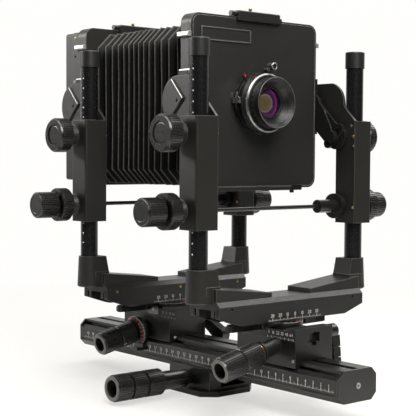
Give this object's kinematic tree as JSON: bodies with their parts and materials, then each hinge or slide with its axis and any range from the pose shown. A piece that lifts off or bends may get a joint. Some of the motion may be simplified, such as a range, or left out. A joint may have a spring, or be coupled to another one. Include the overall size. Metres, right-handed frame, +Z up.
{
  "type": "monorail view camera",
  "caption": "Large-format view camera: two geared standards with rise, shift, swing and tilt on a monorail, joined by pleated bellows, with a lens in a leaf shutter.",
  "frame": {"origin": "centre of the tripod block's flat underside, where the tripod screw enters", "axes": "+Z up, the lens looks towards -Y, +X to the right of someone facing the lens; the monorail runs along Y"},
  "size_m": [0.32, 0.4216, 0.3938],
  "materials": {
    "anodised_black": "satin black anodised aluminium",
    "cast_black": "matt black paint on aluminium castings",
    "tube_black": "semi-gloss black tube",
    "knob_black": "satin black moulded plastic",
    "steel_dark": "blackened steel",
    "aluminium": "bare satin aluminium",
    "leatherette": "black folded leatherette",
    "lens_black": "satin black lens barrel",
    "chrome": "satin chrome",
    "coated_glass": "coated lens glass, purple and amber reflections",
    "ground_glass": "finely ground glass",
    "zinc": "zinc-plated screws"
  },
  "bodies": {
    "tripod": {"tripod_block": "anodised_black"},
    "jaw": {"clamp_jaw": "anodised_black"},
    "handle": {"clamp_handle": "knob_black"},
    "rail": {"rail": "anodised_black", "rail_end_caps": "anodised_black", "rail_end_screws": "zinc"},
    "front_carriage": {"front_carriage": "anodised_black"},
    "front_focus_knob": {"front_focus_knob": "knob_black"},
    "front_focus_lock": {"front_focus_lock": "knob_black"},
    "front_swing_stage": {"front_swing_stage": "anodised_black"},
    "front_base": {"front_shift_bar": "anodised_black", "front_arms": "cast_black", "front_posts": "tube_black", "front_post_caps": "knob_black"},
    "front_lift": {"front_lift_blocks": "cast_black"},
    "front_swing_lock": {"front_swing_lock": "steel_dark"},
    "front_shift_lock": {"front_shift_lock": "steel_dark"},
    "front_rise_drive": {"front_rise_drive": "knob_black"},
    "front_left_rise_lock": {"front_left_rise_lock": "knob_black"},
    "front_left_tilt_knob": {"front_left_tilt_knob": "knob_black"},
    "front_right_rise_lock": {"front_right_rise_lock": "knob_black"},
    "front_right_tilt_knob": {"front_right_tilt_knob": "knob_black"},
    "front_tilt": {"front_frame": "cast_black", "front_frame_lugs": "aluminium", "front_tilt_quadrants": "steel_dark", "lens_board": "cast_black", "name_plate": "cast_black", "shutter_body": "lens_black", "lens_barrel": "lens_black", "lens_glass": "coated_glass", "flash_post": "chrome"},
    "board_lock": {"front_board_lock": "anodised_black"},
    "speed_ring": {"speed_ring": "chrome"},
    "aperture_lever": {"aperture_lever": "lens_black"},
    "cocking_lever": {"cocking_lever": "chrome"},
    "rear_carriage": {"rear_carriage": "anodised_black"},
    "rear_focus_knob": {"rear_focus_knob": "knob_black"},
    "rear_focus_lock": {"rear_focus_lock": "knob_black"},
    "rear_swing_stage": {"rear_swing_stage": "anodised_black"},
    "rear_base": {"rear_shift_bar": "anodised_black", "rear_arms": "cast_black", "rear_posts": "tube_black", "rear_post_caps": "knob_black"},
    "rear_lift": {"rear_lift_blocks": "cast_black"},
    "rear_swing_lock": {"rear_swing_lock": "steel_dark"},
    "rear_shift_lock": {"rear_shift_lock": "steel_dark"},
    "rear_rise_drive": {"rear_rise_drive": "knob_black"},
    "rear_left_rise_lock": {"rear_left_rise_lock": "knob_black"},
    "rear_left_tilt_knob": {"rear_left_tilt_knob": "knob_black"},
    "rear_right_rise_lock": {"rear_right_rise_lock": "knob_black"},
    "rear_right_tilt_knob": {"rear_right_tilt_knob": "knob_black"},
    "rear_tilt": {"rear_frame": "cast_black", "rear_frame_lugs": "aluminium", "rear_tilt_quadrants": "steel_dark", "back_frame": "cast_black", "bellows": "leatherette"},
    "back_lock": {"rear_back_lock": "anodised_black"},
    "spring_back": {"ground_glass_frame": "cast_black", "ground_glass": "ground_glass"},
    "depth_ring": {"rear_depth_ring": "anodised_black"}
  },
  "joints": [
    {"name": "rail_slide", "type": "slide", "parent": "tripod", "child": "rail", "axis": [0, 1, 0], "range_m": [-0.1, 0.1]},
    {"name": "jaw_slide", "type": "slide", "parent": "tripod", "child": "jaw", "axis": [-1, 0, 0], "range_m": [0, 0.000833]},
    {"name": "handle_turn", "type": "hinge", "parent": "jaw", "child": "handle", "pos_m": [-0.06, 0, 0.0162], "axis": [1, 0, 0], "range_deg": [0, 245]},
    {"name": "front_focus", "type": "slide", "parent": "rail", "child": "front_carriage", "axis": [0, 1, 0], "range_m": [-0.053, 0.08], "deforming": ["bellows"]},
    {"name": "front_focus_turn", "type": "hinge", "parent": "front_carriage", "child": "front_focus_knob", "pos_m": [-0.05423, -0.127, 0.05905], "axis": [-0.9744, 0, -0.225], "range_deg": [-400, 580]},
    {"name": "front_focus_lock_turn", "type": "hinge", "parent": "front_carriage", "child": "front_focus_lock", "pos_m": [0.03, -0.144, 0.0765], "axis": [1, 0, 0], "range_deg": [-30, 45]},
    {"name": "front_swing", "type": "hinge", "parent": "front_carriage", "child": "front_swing_stage", "pos_m": [0, -0.106, 0.086], "axis": [0, 0, 1], "range_deg": [-30, 30]},
    {"name": "front_swing_lock_turn", "type": "hinge", "parent": "front_swing_stage", "child": "front_swing_lock", "pos_m": [-0.0315, -0.106, 0.088], "axis": [0, 0, 1], "range_deg": [-30, 30]},
    {"name": "front_shift_lock_turn", "type": "hinge", "parent": "front_swing_stage", "child": "front_shift_lock", "pos_m": [0.0315, -0.106, 0.088], "axis": [0, 0, 1], "range_deg": [0, 30]},
    {"name": "front_shift", "type": "slide", "parent": "front_swing_stage", "child": "front_base", "axis": [1, 0, 0], "range_m": [-0.03, 0.03]},
    {"name": "front_rise", "type": "slide", "parent": "front_base", "child": "front_lift", "axis": [0, 0, 1], "range_m": [-0.034, 0.05]},
    {"name": "front_rise_turn", "type": "hinge", "parent": "front_lift", "child": "front_rise_drive", "pos_m": [0.14, -0.0952, 0.196], "axis": [1, 0, 0], "range_deg": [-400, 580]},
    {"name": "front_left_rise_lock_turn", "type": "hinge", "parent": "front_lift", "child": "front_left_rise_lock", "pos_m": [-0.13, -0.0952, 0.196], "axis": [-1, 0, 0], "range_deg": [0, 120]},
    {"name": "front_left_tilt_knob_turn", "type": "hinge", "parent": "front_lift", "child": "front_left_tilt_knob", "pos_m": [-0.13, -0.0952, 0.2678], "axis": [-1, 0, 0], "range_deg": [0, 270]},
    {"name": "front_right_rise_lock_turn", "type": "hinge", "parent": "front_lift", "child": "front_right_rise_lock", "pos_m": [0.13, -0.0952, 0.196], "axis": [1, 0, 0], "range_deg": [0, 120]},
    {"name": "front_right_tilt_knob_turn", "type": "hinge", "parent": "front_lift", "child": "front_right_tilt_knob", "pos_m": [0.13, -0.0952, 0.2678], "axis": [1, 0, 0], "range_deg": [0, 270]},
    {"name": "front_tilt", "type": "hinge", "parent": "front_lift", "child": "front_tilt", "pos_m": [0, -0.0617, 0.2998], "axis": [1, 0, 0], "range_deg": [-12, 12]},
    {"name": "board_lock_slide", "type": "slide", "parent": "front_tilt", "child": "board_lock", "axis": [0, 0, 1], "range_m": [0, 0.006]},
    {"name": "speed_ring_turn", "type": "hinge", "parent": "front_tilt", "child": "speed_ring", "pos_m": [0, -0.085, 0.2998], "axis": [0, 1, 0], "range_deg": [-60, 60]},
    {"name": "aperture_lever_turn", "type": "hinge", "parent": "front_tilt", "child": "aperture_lever", "pos_m": [0, -0.078, 0.2998], "axis": [0, 1, 0], "range_deg": [-30, 30]},
    {"name": "cocking_lever_turn", "type": "hinge", "parent": "front_tilt", "child": "cocking_lever", "pos_m": [0, -0.0734, 0.2998], "axis": [0, 1, 0], "range_deg": [-45, 0]},
    {"name": "rear_focus", "type": "slide", "parent": "rail", "child": "rear_carriage", "axis": [0, 1, 0], "range_m": [-0.08, 0.086]},
    {"name": "rear_focus_turn", "type": "hinge", "parent": "rear_carriage", "child": "rear_focus_knob", "pos_m": [-0.05423, 0.0866, 0.05035], "axis": [-0.9744, 0, -0.225], "range_deg": [-580, 640]},
    {"name": "rear_focus_lock_turn", "type": "hinge", "parent": "rear_carriage", "child": "rear_focus_lock", "pos_m": [0.03, 0.0506, 0.066], "axis": [1, 0, 0], "range_deg": [-20, 60]},
    {"name": "rear_swing", "type": "hinge", "parent": "rear_carriage", "child": "rear_swing_stage", "pos_m": [0, 0.0726, 0.086], "axis": [0, 0, 1], "range_deg": [-30, 30]},
    {"name": "rear_swing_lock_turn", "type": "hinge", "parent": "rear_swing_stage", "child": "rear_swing_lock", "pos_m": [-0.0315, 0.0726, 0.088], "axis": [0, 0, 1], "range_deg": [-30, 30]},
    {"name": "rear_shift_lock_turn", "type": "hinge", "parent": "rear_swing_stage", "child": "rear_shift_lock", "pos_m": [0.0315, 0.0726, 0.088], "axis": [0, 0, 1], "range_deg": [0, 30]},
    {"name": "rear_shift", "type": "slide", "parent": "rear_swing_stage", "child": "rear_base", "axis": [1, 0, 0], "range_m": [-0.03, 0.03]},
    {"name": "rear_rise", "type": "slide", "parent": "rear_base", "child": "rear_lift", "axis": [0, 0, 1], "range_m": [-0.034, 0.05]},
    {"name": "rear_rise_turn", "type": "hinge", "parent": "rear_lift", "child": "rear_rise_drive", "pos_m": [0.14, 0.0834, 0.196], "axis": [1, 0, 0], "range_deg": [-400, 580]},
    {"name": "rear_left_rise_lock_turn", "type": "hinge", "parent": "rear_lift", "child": "rear_left_rise_lock", "pos_m": [-0.13, 0.0834, 0.196], "axis": [-1, 0, 0], "range_deg": [0, 120]},
    {"name": "rear_left_tilt_knob_turn", "type": "hinge", "parent": "rear_lift", "child": "rear_left_tilt_knob", "pos_m": [-0.13, 0.0834, 0.2678], "axis": [-1, 0, 0], "range_deg": [0, 270]},
    {"name": "rear_right_rise_lock_turn", "type": "hinge", "parent": "rear_lift", "child": "rear_right_rise_lock", "pos_m": [0.13, 0.0834, 0.196], "axis": [1, 0, 0], "range_deg": [0, 120]},
    {"name": "rear_right_tilt_knob_turn", "type": "hinge", "parent": "rear_lift", "child": "rear_right_tilt_knob", "pos_m": [0.13, 0.0834, 0.2678], "axis": [1, 0, 0], "range_deg": [0, 270]},
    {"name": "rear_tilt", "type": "hinge", "parent": "rear_lift", "child": "rear_tilt", "pos_m": [0, 0.1169, 0.2998], "axis": [1, 0, 0], "range_deg": [-12, 12]},
    {"name": "back_lock_slide", "type": "slide", "parent": "rear_tilt", "child": "back_lock", "axis": [0, 0, 1], "range_m": [0, 0.006]},
    {"name": "spring_back_slide", "type": "slide", "parent": "rear_tilt", "child": "spring_back", "axis": [0, 1, 0], "range_m": [0, 0.02], "stiffness_N_per_m": 800},
    {"name": "depth_ring_turn", "type": "hinge", "parent": "rear_carriage", "child": "depth_ring", "pos_m": [-0.03474, 0.0866, 0.05485], "axis": [-0.9744, 0, -0.225], "range_deg": [-90, 90]}
  ],
  "couplings": [
    {"joint": "handle_turn", "follows": "jaw_slide", "rad_per_m": 5026.5},
    {"joint": "front_focus_turn", "follows": "front_focus", "rad_per_m": 125},
    {"joint": "front_rise_turn", "follows": "front_rise", "rad_per_m": 200},
    {"joint": "rear_focus_turn", "follows": "rear_focus", "rad_per_m": 125},
    {"joint": "rear_rise_turn", "follows": "rear_rise", "rad_per_m": 200}
  ]
}
